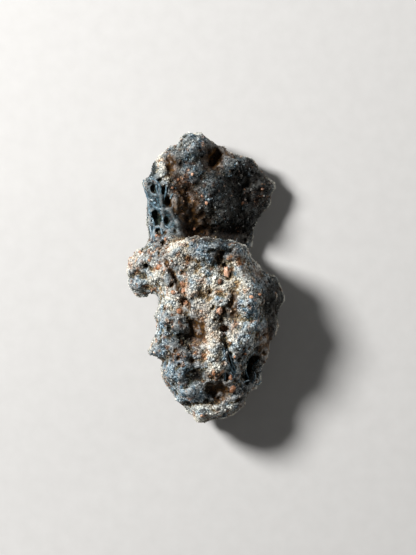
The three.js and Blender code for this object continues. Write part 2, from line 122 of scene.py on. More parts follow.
def pit(x, y, across, along, depth, turn=0.0):
    """A pit or a lump: place, half-widths and depth or height in millimetres, turned in degrees."""
    return x * MM, y * MM, across * MM, along * MM, depth * MM, math.radians(turn)


def line(x0, y0, x1, y1, width, height):
    """A ridge, or a groove where the height is below zero: its ends, half-width and height in millimetres."""
    return x0 * MM, y0 * MM, x1 * MM, y1 * MM, width * MM, height * MM


def pebble(x, y, across, along, tone, turn=0.0):
    """A stained grain: place and half-widths in millimetres, tone 0 dark to 1 pale, turned in degrees."""
    return x * MM, y * MM, across * MM, along * MM, tone, math.radians(turn)


# Where the sand melted least and stayed pale.
PALE = [
    patch(-7.7, 19.2, 0.65, 1.9, 2.4, 15),
    patch(-7.0, 17.2, 0.7, 1.0, 2.2, 20),
    patch(-3.8, 4.4, 3.0, 1.9, 0.7),
    patch(-4.9, 6.1, 2.0, 1.0, 0.6),
    patch(-0.2, -1.3, 4.6, 3.4, 1.0),
    patch(-5.3, -4.6, 1.3, 1.1, 1.2),
    patch(-11.9, 3.1, 1.9, 1.6, 0.35),
    patch(-8.9, 0.4, 2.0, 0.9, 0.9, 40),
    patch(-6.8, -3.0, 1.0, 2.0, 0.7),
    patch(1.2, -8.4, 1.5, 3.4, 1.2, -4),
    patch(1.6, -13.4, 1.7, 3.0, 1.3, -4),
    patch(5.6, 2.2, 1.0, 1.7, 1.1, 31),
    patch(3.3, -1.4, 2.4, 1.0, 1.1),
    patch(5.4, -8.0, 1.2, 2.6, 0.7),
    patch(7.8, -4.6, 1.4, 2.0, 0.6),
    patch(9.3, -8.3, 1.4, 1.2, 0.6),
    patch(7.6, -8.6, 1.6, 3.0, 0.5),
    patch(6.8, -1.4, 1.6, 1.8, 0.6),
    patch(4.4, -11.6, 1.0, 2.0, 0.6),
    patch(0.0, -23.6, 2.6, 1.2, 0.7, 12),
    patch(-0.4, -22.4, 1.7, 0.4, 1.0, 2),
    patch(4.6, -22.9, 2.4, 0.7, 0.6, -70),
]
# Where it melted to blue-grey glass.
BLUE = [
    patch(-0.6, 5.0, 1.5, 1.3, 1.0),
    patch(1.0, 2.4, 1.2, 1.0, 0.5),
    patch(5.6, 1.0, 1.0, 1.2, 0.6),
    patch(8.6, -1.0, 1.2, 1.2, 1.0),
    patch(-2.0, -1.0, 1.4, 1.6, 0.45),
    patch(0.6, 0.6, 1.3, 0.9, 0.45),
    patch(3.6, -13.0, 0.7, 2.6, 1.1, 15),
    patch(6.6, -10.0, 1.4, 1.8, 0.6),
    patch(-8.2, 12.6, 1.9, 4.6, 1.5, 6),
    patch(-5.6, 10.2, 1.2, 2.2, 1.4, 35),
    patch(-9.5, 18.8, 0.8, 2.2, 1.0, -20),
    patch(-0.6, 4.6, 1.8, 1.5, 1.0),
    patch(2.6, 5.9, 1.7, 0.8, 1.0),
    patch(4.6, 4.8, 2.0, 1.2, 0.9),
    patch(2.9, -3.8, 1.1, 0.8, 1.2),
    patch(7.8, -5.0, 1.2, 1.8, 1.3),
    patch(9.5, -8.3, 1.6, 1.3, 1.4),
    patch(7.8, -7.6, 2.6, 5.0, 0.35),
    patch(10.6, -1.0, 1.4, 1.2, 0.8),
    patch(1.2, 16.6, 3.6, 4.4, 0.8),
    patch(-2.2, 21.4, 2.0, 2.6, 0.6),
    patch(5.6, 19.2, 1.2, 1.8, 0.8),
    patch(-12.0, -0.6, 1.2, 1.2, 0.8),
    patch(-7.4, -9.4, 1.5, 4.2, 0.8),
    patch(-5.0, -15.6, 2.6, 3.4, 1.0),
    patch(-2.4, -20.6, 2.8, 1.6, 1.0),
    patch(4.6, -15.6, 0.7, 3.0, 0.8, 15),
    patch(5.0, -20.4, 1.3, 1.5, 0.8),
    patch(-0.6, -23.4, 1.2, 0.9, 0.8),
]
# Where clear brown glass fills the hollows.
AMBER = [
    patch(2.4, -0.7, 0.45, 0.5, 1.2),
    patch(0.7, -2.6, 0.4, 0.4, 1.2),
    patch(1.6, 3.9, 0.9, 0.7, 0.5),
    patch(5.0, 3.6, 0.7, 0.9, 0.7),
    patch(6.4, 1.2, 0.5, 0.9, 0.6, 30),
    patch(3.9, -13.6, 0.4, 0.8, 0.9),
    patch(-5.2, -12.6, 0.6, 0.5, 1.1),
    patch(-4.6, -14.0, 0.5, 0.4, 1.1),
    patch(-2.3, -14.3, 0.6, 0.5, 1.0),
    patch(0.4, -16.8, 0.8, 0.7, 0.6),
    patch(-8.0, 6.8, 0.6, 1.2, 0.6),
    patch(-7.2, 5.6, 0.5, 0.6, 0.8),
    patch(1.6, 20.8, 1.8, 2.3, 1.4, -10),
    patch(-6.1, 19.6, 0.9, 1.6, 2.4, 10),
    patch(-4.6, 12.8, 1.2, 1.8, 1.0),
    patch(-2.7, 11.9, 1.9, 3.4, 1.2, 6),
    patch(-1.7, 8.4, 2.2, 2.0, 1.3),
    patch(3.6, 21.7, 1.5, 0.9, 0.7, -45),
    patch(-5.9, 13.0, 0.9, 1.8, 1.0),
    patch(5.2, 7.4, 3.0, 0.9, 0.3),
    patch(4.6, -4.7, 0.8, 1.9, 2.4),
    patch(-1.2, -8.8, 1.4, 2.2, 1.7),
    patch(10.6, -11.1, 0.5, 1.4, 1.2),
    patch(3.5, -8.9, 0.9, 0.8, 1.0),
    patch(10.4, -11.6, 1.2, 3.0, 2.2, -10),
    patch(2.6, -19.2, 2.2, 1.4, 1.3),
    patch(2.6, -21.2, 1.6, 0.6, 0.9, 5),
    patch(6.6, -22.0, 1.0, 1.8, 0.7, -40),
    patch(8.9, 0.6, 0.8, 1.8, 0.9, 35),
    patch(-5.3, -1.6, 0.8, 1.5, 1.2, 30),
    patch(-6.6, 2.4, 0.6, 1.0, 1.2, 20),
    patch(-5.9, 1.0, 0.5, 1.2, 1.0, 30),
    patch(-3.4, -4.6, 0.9, 1.0, 1.3),
    patch(-4.5, -6.0, 0.7, 0.7, 1.3),
]
# Where iron stains the sand orange.
RUST = [
    patch(5.2, -9.6, 0.9, 1.6, 0.35),
    patch(4.9, 3.6, 1.0, 0.9, 0.5),
    patch(-7.0, 4.8, 1.0, 1.6, 0.35),
    patch(-1.0, -9.6, 1.4, 2.2, 0.6),
    patch(-3.0, 3.2, 1.6, 1.6, 0.3),
    patch(0.0, -4.0, 1.2, 3.0, 0.25),
    patch(-7.8, 2.0, 0.9, 0.8, 0.9),
    patch(-3.6, -2.0, 0.9, 1.6, 0.8),
    patch(-4.6, 16.0, 1.3, 2.2, 0.8),
    patch(-3.4, 12.4, 1.8, 3.0, 0.7),
    patch(-1.0, -6.0, 1.2, 1.6, 0.3),
    patch(1.6, -17.0, 0.9, 0.7, 1.0),
    patch(5.6, 2.8, 0.8, 1.2, 0.4, 30),
    patch(4.6, 8.0, 2.4, 0.7, 0.5),
    patch(8.6, 16.0, 2.6, 4.0, 0.25),
    patch(-1.0, -12.0, 1.3, 3.0, 0.4),
    patch(-5.0, -13.4, 1.8, 1.2, 0.5),
    patch(-12.4, 2.6, 1.3, 1.8, 0.3),
    patch(-8.4, 7.0, 0.8, 1.2, 0.6),
    patch(2.0, -10.4, 1.6, 2.0, 0.3),
    patch(0.2, 21.6, 3.0, 1.4, 0.2),
]
# Where the face is darkened: partly soot-dark glass, partly painted shadow, such as the dome's shadow over
# the crown's right half, the shade below the ledge and the shade in hollows.
SOOT_AND_SHADE = [
    patch(8.6, 15.6, 3.8, 6.0, 1.0),
    patch(4.4, 8.6, 5.4, 2.4, 2.0),
    patch(-2.2, 9.0, 1.8, 2.6, 1.1),
    patch(1.2, 15.6, 9.0, 8.4, 0.92),
    patch(0.7, 21.0, 1.0, 2.4, 1.0, -15),
    patch(-4.2, 12.4, 1.0, 3.2, 0.5, 5),
    patch(-8.6, 13.4, 2.2, 5.0, 0.55),
    patch(-9.0, 19.4, 0.8, 2.6, 0.9, -20),
    patch(-4.4, 20.6, 1.8, 2.2, 0.4),
    patch(-4.8, -8.6, 1.4, 2.4, 0.4),
    patch(-4.4, -11.4, 1.8, 2.2, 0.5),
    patch(-7.9, -11.4, 0.9, 0.5, 0.6),
    patch(-7.9, 5.0, 0.8, 1.6, 0.5),
    patch(11.8, -4.6, 2.0, 4.8, 1.8),
    patch(7.6, -16.2, 2.4, 3.0, 0.8),
    patch(-1.5, -17.0, 1.4, 0.8, 1.0),
    patch(-3.6, -8.6, 1.3, 1.8, 0.3),
    patch(1.2, -20.5, 1.0, 0.5, 0.9),
    patch(1.9, 3.9, 0.9, 0.6, 0.4),
    patch(4.8, 4.4, 1.6, 1.1, 0.6),
    patch(-1.2, -9.2, 1.4, 2.2, 0.55),
    patch(6.6, -20.8, 1.2, 1.8, 0.8),
    patch(-4.6, -12.6, 1.4, 1.4, 0.3),
    patch(-4.6, -17.4, 3.4, 3.6, 0.25),
]
# Where the melt frothed and is full of pores.
FROTH = [
    patch(7.4, -15.6, 2.6, 3.6, 1.5),
    patch(-6.6, -16.6, 2.4, 3.6, 0.7),
    patch(-7.6, -9.6, 1.6, 4.0, 0.6),
    patch(-8.2, 6.0, 1.8, 2.4, 0.9),
    patch(10.6, -3.4, 2.4, 5.0, 0.7),
    patch(3.0, 3.4, 1.8, 1.0, 0.9),
    patch(2.0, -19.6, 3.0, 1.6, 0.9),
]
# The glass net over the left side: smooth, with open cells.
NET = [
    patch(-8.5, 13.8, 1.7, 3.0, 1.6, 12),
    patch(-6.4, 10.4, 2.0, 2.6, 1.6, 30),
    patch(-5.4, 10.4, 1.0, 1.9, 1.6, 36),
    patch(-8.9, 8.6, 1.0, 2.0, 1.2),
]
# The net's open cells.
CELLS = [
    pit(-9.0, 15.4, 0.65, 1.1, 1.3, 20),
    pit(-7.3, 15.0, 0.45, 0.95, 1.1, -20),
    pit(-9.8, 16.1, 0.25, 0.3, 0.9),
    pit(-7.9, 16.8, 0.5, 0.3, 1.0, 30),
    pit(-6.3, 13.1, 0.4, 1.2, 0.9, 5),
    pit(-8.5, 10.3, 0.75, 1.5, 0.9, 20),
    pit(-6.7, 9.8, 0.4, 0.85, 0.7, 10),
    pit(-8.3, 7.8, 0.5, 0.6, 1.1, -10),
    pit(-6.9, 7.7, 0.35, 0.3, 0.9, 20),
    pit(-7.4, 5.8, 0.35, 0.7, 1.3, -30),
    pit(-8.1, 4.5, 0.35, 0.8, 1.2, -10),
    pit(-9.5, 12.0, 0.2, 0.55, 0.8, 5),
    pit(-7.9, 12.0, 0.2, 0.2, 0.7),
    pit(-5.3, 8.1, 0.25, 0.4, 0.8, 20),
]
# Burst bubbles and small hollows.
PITS = [
    pit(1.6, 20.9, 1.5, 2.1, 1.1, -15),
    pit(-6.0, 19.6, 0.8, 1.5, 0.25, 10),
    pit(-4.3, 19.75, 0.28, 0.45, 0.9),
    pit(-2.8, 13.4, 0.25, 0.25, 0.6),
    pit(-3.3, 9.6, 0.3, 1.4, 0.9, 5),
    pit(-6.7, 2.3, 0.4, 0.75, 1.0, 15),
    pit(-5.5, 0.3, 0.35, 0.8, 0.8, 25),
    pit(-5.8, -1.3, 0.6, 0.4, 0.9, 60),
    pit(-3.8, -1.2, 0.45, 0.5, 0.8),
    pit(-3.2, -4.5, 0.55, 0.65, 0.6),
    pit(-2.8, -5.3, 0.3, 0.4, 0.8),
    pit(-4.5, -5.9, 0.5, 0.45, 0.5),
    pit(0.7, -2.6, 0.35, 0.35, 0.9),
    pit(1.55, -7.2, 0.3, 0.3, 0.7),
    pit(2.6, -7.4, 0.4, 0.6, 0.7, 20),
    pit(3.5, -8.9, 0.95, 0.55, 0.15, -25),
    pit(-10.2, 2.1, 0.4, 0.6, 1.2, -30),
    pit(1.8, 3.4, 0.5, 0.35, 0.6, -25),
    pit(3.3, 2.1, 0.45, 0.4, 0.9),
    pit(0.9, 4.6, 0.35, 0.35, 0.6),
    pit(-4.8, -14.0, 0.4, 0.3, 0.7, 70),
    pit(-2.3, -14.3, 0.45, 0.35, 0.8, -60),
    pit(-5.3, -12.6, 0.5, 0.35, 0.7, 60),
    pit(4.5, -13.0, 0.35, 0.5, 0.8, 20),
    pit(4.2, -16.0, 0.3, 0.35, 0.8),
    pit(3.5, -12.0, 0.3, 0.7, 0.8, 20),
    pit(8.4, -14.3, 0.9, 0.8, 1.3, 20),
    pit(6.8, -17.2, 0.8, 1.0, 1.5, 20),
    pit(9.0, -17.0, 0.5, 0.7, 1.1),
    pit(7.6, -15.6, 0.5, 0.4, 0.9),
    pit(1.2, -17.4, 0.4, 0.35, 0.7),
    pit(3.6, -17.2, 0.55, 0.8, 1.1, 10),
    pit(4.9, -17.8, 0.3, 0.4, 0.7),
    pit(-0.1, -21.2, 0.8, 0.3, 0.7),
    pit(2.2, -20.9, 0.6, 0.4, 0.7, 20),
    pit(-9.9, -14.0, 0.4, 0.3, 0.5),
    pit(-8.0, -11.4, 0.6, 0.35, 0.4, 60),
    pit(6.3, 21.0, 0.5, 0.4, 0.6),
    pit(9.8, 18.6, 0.5, 0.4, 0.6),
]
# Ridges of glass, and grooves where the height is below zero.
LINES = [
    line(-10.7, 16.6, -9.9, 13.4, 0.28, 0.5),
    line(-9.9, 13.4, -9.6, 10.6, 0.25, 0.45),
    line(-9.6, 10.6, -9.3, 6.6, 0.25, 0.4),
    line(-7.8, 14.6, -7.6, 11.8, 0.25, 0.45),
    line(-7.6, 11.8, -6.2, 12.0, 0.25, 0.45),
    line(-6.4, 12.0, -4.6, 9.4, 0.4, 0.7),
    line(-4.6, 9.6, -4.4, 7.6, 0.35, 0.4),
    line(-7.6, 11.8, -7.5, 8.8, 0.25, 0.4),
    line(-7.5, 8.8, -6.6, 7.6, 0.3, 0.35),
    line(-8.2, 20.8, -6.9, 16.4, 0.5, 0.25),
    line(-6.9, 2.8, -5.0, -0.4, 0.5, -0.5),
    line(-5.0, -0.4, -3.6, -4.6, 0.5, -0.45),
    line(-5.4, 15.4, -4.4, 14.2, 0.2, 0.35),
    line(-5.0, 11.6, -5.2, 14.2, 0.3, 0.4),
    line(-3.0, 5.7, -1.4, 6.5, 0.35, 0.35),
    line(-1.4, 6.5, 2.8, 6.6, 0.4, 0.4),
    line(2.8, 6.6, 5.0, 5.6, 0.35, 0.35),
    line(4.4, 3.4, 7.6, -1.4, 0.5, 0.45),
    line(6.0, 4.8, 9.0, 1.6, 0.4, 0.35),
    line(3.4, -10.2, 4.8, -16.6, 0.35, -0.7),
    line(2.6, -11.6, 3.8, -15.0, 0.25, 0.4),
    line(3.8, -15.0, 6.2, -18.6, 0.35, 0.5),
    line(4.6, -12.6, 5.8, -16.4, 0.35, 0.4),
    line(3.3, -16.6, 3.1, -18.6, 0.25, 0.5),
    line(-1.8, -21.9, 2.4, -21.6, 0.3, -0.7),
    line(-2.0, -22.6, 1.8, -22.3, 0.4, 0.6),
    line(1.8, -22.3, 6.2, -20.4, 0.35, 0.5),
    line(-1.6, -24.6, 4.2, -24.2, 0.3, 0.4),
    line(4.2, -24.2, 7.4, -21.6, 0.3, 0.4),
    line(-8.2, -0.2, -11.0, 1.0, 0.5, 0.4),
]
# Lumps that stand out of the face, stated as pits are, with a height for the depth.
LUMPS = [
    pit(-0.5, 4.6, 1.3, 1.2, 0.8),
    pit(2.6, 5.4, 1.4, 0.9, 0.8),
    pit(5.0, 5.2, 0.9, 0.8, 0.6),
    pit(-2.3, 4.9, 1.1, 1.4, 0.4),
    pit(5.6, 2.1, 0.8, 1.7, 0.7, 35),
    pit(10.6, -0.8, 1.3, 1.0, 0.9),
    pit(9.7, -2.4, 0.8, 0.8, 0.6),
    pit(2.8, -3.8, 1.1, 0.8, 0.4),
    pit(4.2, -4.8, 1.1, 1.9, 1.2),
    pit(7.8, -5.0, 1.1, 1.5, 0.9),
    pit(9.5, -8.3, 1.3, 1.1, 1.2),
    pit(6.8, -10.4, 1.0, 1.6, 0.5),
    pit(-5.0, -16.4, 2.4, 2.0, 0.5),
    pit(-4.3, -8.4, 1.5, 1.8, 1.3),
    pit(-3.4, -8.9, 0.9, 1.2, 0.8),
    pit(1.0, -18.8, 1.2, 1.2, 1.1),
    pit(-7.6, -9.4, 0.9, 1.6, 0.6, -15),
    pit(-3.2, -20.0, 1.6, 1.2, 0.7),
    pit(-8.0, -10.9, 1.0, 1.6, 0.6),
    pit(-9.0, -12.6, 0.6, 0.6, 0.6),
    pit(-6.9, -13.0, 0.9, 0.8, 0.4),
    pit(-12.0, 2.6, 1.3, 1.3, 0.6),
    pit(-12.1, -1.0, 1.2, 1.0, 0.6),
    pit(-8.9, 0.1, 1.6, 0.8, 0.6, 40),
    pit(1.2, 15.2, 2.4, 3.0, 0.9),
    pit(-3.1, 17.8, 1.4, 2.2, 0.5),
    pit(-1.9, 22.6, 2.0, 1.4, 0.6),
    pit(4.5, 19.5, 1.2, 1.6, 0.6),
    pit(2.8, 10.6, 1.4, 1.8, 0.6),
    pit(9.7, 15.2, 1.0, 2.2, 0.4),
    pit(-0.4, -23.4, 1.5, 1.1, 0.7),
    pit(3.1, -22.9, 2.2, 0.8, 0.5, 15),
    pit(1.4, -9.6, 1.2, 4.6, 0.5, -4),
    pit(-2.6, -2.4, 1.6, 1.2, 0.4, 20),
]
# Thin threads and struts of glass: a radius and the places that each runs through, in millimetres.
THREADS = [
    (0.26, (-10.8, 16.9), (-10.4, 15.2), (-9.9, 13.6), (-9.7, 12.2), (-9.6, 10.6), (-9.5, 8.8), (-9.3, 6.8)),
    (0.20, (-9.7, 17.2), (-8.6, 16.7), (-7.9, 15.8), (-7.8, 14.6), (-7.4, 13.0), (-7.4, 12.0)),
    (0.18, (-8.4, 16.6), (-8.5, 15.6), (-8.1, 14.4)),
    (0.22, (-9.8, 13.4), (-8.8, 12.2), (-7.6, 11.8), (-6.4, 12.0), (-5.6, 11.2), (-4.8, 10.0), (-4.5, 8.8)),
    (0.22, (-7.5, 11.8), (-7.5, 10.4), (-7.4, 9.2), (-7.7, 8.6), (-7.5, 7.4)),
    (0.16, (-9.5, 10.4), (-9.1, 9.8), (-8.9, 8.6), (-9.1, 7.6), (-8.8, 6.2)),
    (0.15, (-7.7, 8.6), (-8.6, 8.6), (-9.0, 8.4)),
    (0.15, (-7.4, 9.0), (-6.4, 8.6), (-5.6, 8.8)),
    (0.16, (-6.8, 15.9), (-6.9, 14.6), (-7.3, 13.4)),
    (0.16, (-5.4, 15.6), (-5.0, 14.9), (-5.9, 14.2), (-6.1, 13.6)),
    (0.15, (3.2, -16.4), (3.4, -17.4), (3.0, -18.6)),
    (0.15, (2.4, -11.8), (3.2, -13.2), (3.9, -15.0), (4.9, -16.6), (5.8, -18.2)),
    (0.14, (3.6, -12.4), (4.4, -14.2), (4.6, -16.0)),
    (0.14, (4.6, -15.0), (5.4, -16.6), (5.6, -18.0)),
    (0.14, (7.0, -13.2), (7.4, -14.6), (6.9, -16.0), (7.4, -17.6)),
    (0.14, (9.2, -14.4), (8.2, -15.6), (8.6, -17.2), (8.0, -18.4)),
    (0.14, (6.2, -18.4), (7.4, -18.0), (8.8, -18.6), (9.6, -18.2)),
]
# The larger grains of iron-stained sand.
PEBBLES = [
    pebble(3.65, 0.85, 0.58, 1.05, 0.9, 5),
    pebble(2.35, -5.75, 0.78, 0.75, 0.8),
    pebble(3.6, -9.1, 0.45, 0.32, 0.3, 60),
    pebble(3.15, -8.8, 0.9, 0.65, 0.6, -20),
    pebble(2.4, -0.7, 0.42, 0.5, 0.2),
    pebble(-7.9, 1.75, 0.7, 0.5, 0.6, 40),
    pebble(-3.9, -1.1, 0.5, 0.7, 0.45, 20),
    pebble(-3.8, -2.3, 0.4, 0.5, 0.7, -20),
    pebble(-3.4, -4.2, 0.8, 0.75, 0.7),
    pebble(-5.6, -2.6, 0.45, 0.4, 0.8),
    pebble(-4.3, -3.8, 0.25, 0.25, 0.9),
    pebble(-5.8, 2.8, 0.28, 0.22, 0.3),
    pebble(4.7, -19.3, 0.6, 0.8, 0.25, -20),
    pebble(4.3, -17.3, 0.35, 0.6, 0.4, 5),
    pebble(1.4, -16.6, 0.35, 0.45, 0.5),
    pebble(9.2, -2.9, 0.35, 0.3, 0.6),
    pebble(7.8, -3.4, 0.42, 0.36, 0.9),
    pebble(-2.3, 17.8, 0.28, 0.28, 1.0),
    pebble(-4.7, 16.9, 0.3, 0.28, 0.35),
    pebble(-5.8, 15.5, 0.3, 0.25, 0.35),
    pebble(-8.5, 7.2, 0.3, 0.25, 0.55),
    pebble(-7.0, 6.6, 0.25, 0.3, 0.7),
    pebble(-0.6, 14.1, 0.3, 0.4, 0.45),
    pebble(0.1, 12.9, 0.3, 0.35, 0.7),
    pebble(9.9, 15.4, 0.32, 0.32, 0.15),
    pebble(6.4, 12.9, 0.4, 0.28, 0.3, 60),
    pebble(-0.7, -23.9, 0.3, 0.3, 1.0),
    pebble(-9.7, 2.9, 0.3, 0.3, 0.8),
    pebble(-11.4, 4.4, 0.35, 0.3, 0.8),
    pebble(-2.0, 8.4, 0.3, 0.3, 0.4),
    pebble(5.0, -13.6, 0.3, 0.35, 0.7),
    pebble(6.8, -13.2, 0.3, 0.3, 0.6),
    pebble(-4.7, -13.3, 0.3, 0.25, 0.4),
    pebble(-4.6, -5.8, 0.6, 0.55, 0.5),
]


def shares(places, points):
    """Each place's own value, and how far out each point is in it, 1 at its edge, as seen from above."""
    for x, y, across, along, value, turn in places:
        dx, dy = points[:, 0] - x, points[:, 1] - y
        u = (dx * math.cos(turn) + dy * math.sin(turn)) / across
        v = (dy * math.cos(turn) - dx * math.sin(turn)) / along
        yield value, np.hypot(u, v)


def strength_at(patches, points):
    """How strongly each point belongs to a set of patches, 0 or more."""
    return sum(strength * np.exp(-(share**2)) for strength, share in shares(patches, points))


# ------------------------------------------------------------------------------ small tools
def deselect():
    if bpy.context.object and bpy.context.object.mode != "OBJECT":
        bpy.ops.object.mode_set(mode="OBJECT")
    bpy.ops.object.select_all(action="DESELECT")


def pick(obj):
    deselect()
    obj.select_set(True)
    bpy.context.view_layer.objects.active = obj


def link(obj):
    bpy.context.scene.collection.objects.link(obj)


def shade_smoothly(obj):
    obj.data.polygons.foreach_set("use_smooth", np.ones(len(obj.data.polygons), bool))


def finish_with(obj, kind, **settings):
    """Adds a modifier with these settings and applies it."""
    pick(obj)
    modifier = obj.modifiers.new(kind.lower(), kind)
    for name, value in settings.items():
        setattr(modifier, name, value)
    bpy.ops.object.modifier_apply(modifier=modifier.name)


def places_of(obj):
    points = np.empty(len(obj.data.vertices) * 3)
    obj.data.vertices.foreach_get("co", points)
    return points.reshape(-1, 3)


def normals_of(obj):
    normals = np.empty(len(obj.data.vertices) * 3, np.float32)
    obj.data.vertex_normals.foreach_get("vector", normals)
    return normals.reshape(-1, 3).astype(float)


def place_all(obj, points):
    obj.data.vertices.foreach_set("co", points.ravel())
    obj.data.update()


def push_out(obj, amounts):
    """Moves each vertex along its normal."""
    place_all(obj, places_of(obj) + normals_of(obj) * amounts[:, None])


def waves(points, size, salt):
    """Smooth noise from -1 to 1 with features of a given size. Each salt gives other noise."""
    return np.array([noise.noise(p) for p in (points / size + salt).tolist()])


def nodules(points, size, salt):
    """Rounded lumps with sharp creases between them, from 0 in a crease to 1 on a lump."""
    reach = np.array([noise.voronoi(p)[0][:2] for p in (points / size + salt).tolist()])
    return 1 - np.clip(reach[:, 0] / np.maximum(reach[:, 1], 1e-9), 0, 1)


def ramp(values, low, high):
    """0 below low, 1 above high, smooth between."""
    t = np.clip((values - low) / (high - low), 0, 1)
    return t * t * (3 - 2 * t)


def store(obj, name, values):
    """Keeps one number for each vertex, for the materials to read."""
    attribute = obj.data.attributes.new(name, "FLOAT", "POINT")
    attribute.data.foreach_set("value", values.astype(np.float32))


def smoothed(obj, points, rounds):
    """The points after each has moved to the middle of its neighbours, a number of times."""
    edges = np.empty(len(obj.data.edges) * 2, np.int32)
    obj.data.edges.foreach_get("vertices", edges)
    a, b = edges.reshape(-1, 2).T
    near = np.maximum(np.bincount(a, minlength=len(points)) + np.bincount(b, minlength=len(points)), 1)
    for _ in range(rounds):
        sums = [
            np.bincount(a, points[b, axis], len(points)) + np.bincount(b, points[a, axis], len(points))
            for axis in range(3)
        ]
        points = np.stack(sums, 1) / near[:, None]
    return points


# ------------------------------------------------------------------------------ the lump
def copy_of_solid():
    """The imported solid's mesh, joined up, as a piece of its own."""
    lump = bpy.data.objects.new("fused_lump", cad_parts[NODE].data.copy())
    link(lump)
    lump.data.materials.clear()
    pick(lump)
    bpy.ops.object.mode_set(mode="EDIT")
    bpy.ops.mesh.select_all(action="SELECT")
    bpy.ops.mesh.remove_doubles(threshold=1e-6)
    bpy.ops.object.mode_set(mode="OBJECT")
    return lump


def above_ground(points):
    """1 over most of the lump, fading to 0 where it rests."""
    return ramp(points[:, 2], *RESTING_BAND)


def heap(lump, lumps):
    """Raises ragged lumps out of the face, each steep at its edge."""
    points = places_of(lump)
    facing = ramp(normals_of(lump)[:, 2], -0.1, 0.4)
    wobble = 1 + 0.35 * waves(points, 1.3 * MM, 13.3)
    for height, share in shares(lumps, points):
        points[:, 2] += facing * height * np.exp(-((share * wobble) ** 4))
    points[:, 2] = np.minimum(points[:, 2], CAD_BOX[1][2] - HEADROOM)
    place_all(lump, points)


def roughen(lump):
    """Lumps, folds and nubs all over, weaker where the sand is pale or the glass is smooth."""
    points = places_of(lump)
    net = np.clip(strength_at(NET, points), 0, 1)
    calm = np.clip(0.6 * strength_at(PALE, points), 0, 0.6)
    bent = points + 0.5 * MM * waves(points, 1.7 * MM, 3.1)[:, None]
    lumps = LUMP_RISE * (nodules(bent, LUMP_WIDTH * MM, 5.7) - LUMP_LEVEL) * (1 - calm)
    folds = FOLD_RISE * (1 - np.abs(waves(points, FOLD_WIDTH * MM, 9.4)) * 2) * (1 - calm)
    nubs = NUB_RISE * (nodules(points, NUB_WIDTH * MM, 21.3) - NUB_LEVEL)
    push_out(lump, (lumps + folds + nubs) * MM * (1 - 0.85 * net) * above_ground(points))


def draw_lines(lump, lines):
    """Raises ridges and cuts grooves along straight lines that waver a little."""
    points = places_of(lump)
    facing = ramp(normals_of(lump)[:, 2], -0.1, 0.3)
    waver = np.stack([waves(points, 1.2 * MM, 6.1), waves(points, 1.2 * MM, 8.9)], 1)
    wavered = points[:, :2] + 0.25 * MM * waver
    swell = 0.75 + 0.5 * waves(points, 0.9 * MM, 2.2)
    for x0, y0, x1, y1, width, height in lines:
        start, run = np.array((x0, y0)), np.array((x1 - x0, y1 - y0))
        along = np.clip((wavered - start) @ run / (run @ run), 0, 1)
        off = np.linalg.norm(wavered - start - along[:, None] * run, axis=1)
        points[:, 2] += facing * height * swell * np.exp(-((off / width) ** 2))
    place_all(lump, points)


def dig(lump, pits, edge, ragged):
    """Presses pits straight down into the face. A higher edge makes steeper walls and a flatter floor."""
    points = places_of(lump)
    facing = ramp(normals_of(lump)[:, 2], 0.0, 0.3)
    wobble = 1 + ragged * waves(points, 0.6 * MM, 3.3)
    for depth, share in shares(pits, points):
        points[:, 2] -= facing * depth * np.clip(1 - (share * wobble) ** edge, 0, 1) ** 0.7
    place_all(lump, points)


def pore_the_skin(lump, seed):
    """Small round pores all over, thickest where the glass frothed."""
    rng = np.random.default_rng(seed)
    points, normals = places_of(lump), normals_of(lump)
    spread = 0.4 * ramp(waves(points, 3.0 * MM, 31.0), 0, 0.5)
    froth = 0.12 + np.clip(strength_at(FROTH, points), 0, 1.5) + spread
    froth *= above_ground(points) * (1 - np.clip(strength_at(NET, points), 0, 1))
    chosen = rng.choice(len(points), PORES, replace=False, p=froth / froth.sum())
    moves = np.zeros_like(points)
    for heart, radius in zip(chosen, rng.uniform(*PORE_RADII, PORES) * MM):
        offset = points - points[heart]
        near = np.flatnonzero((np.abs(offset) < radius).all(1))
        share = np.linalg.norm(offset[near], axis=1) / radius
        sunk = np.sqrt(np.clip(1 - share**2, 0, 1)) * PORE_DEPTH * radius
        moves[near] -= sunk[:, None] * normals[heart]
    place_all(lump, points + moves)


def make_lump():
    """The finished lump, and its skin as it was before the cells were dug, for the threads to span."""
    lump = copy_of_solid()
    finish_with(lump, "REMESH", mode="VOXEL", voxel_size=ROUGH_VOXEL)
    finish_with(lump, "SMOOTH", factor=0.5, iterations=9)
    heap(lump, LUMPS)
    roughen(lump)
    finish_with(lump, "REMESH", mode="VOXEL", voxel_size=FINE_VOXEL)
    spanned = BVHTree.FromObject(lump, bpy.context.evaluated_depsgraph_get())
    draw_lines(lump, LINES)
    dig(lump, CELLS, edge=6.0, ragged=0.7)
    dig(lump, PITS, edge=3.0, ragged=0.5)
    pore_the_skin(lump, seed=11)
    finish_with(lump, "REMESH", mode="VOXEL", voxel_size=FINE_VOXEL)
    points = places_of(lump)
    grit = nodules(points, GRIT_WIDTH * MM, 40.2) - NUB_LEVEL
    smooth = np.clip(strength_at(NET, points), 0, 0.9)
    push_out(lump, GRIT_RISE * MM * grit * (1 - smooth) * above_ground(points))
    place_all(lump, np.clip(places_of(lump), *CAD_BOX))
    return lump, spanned


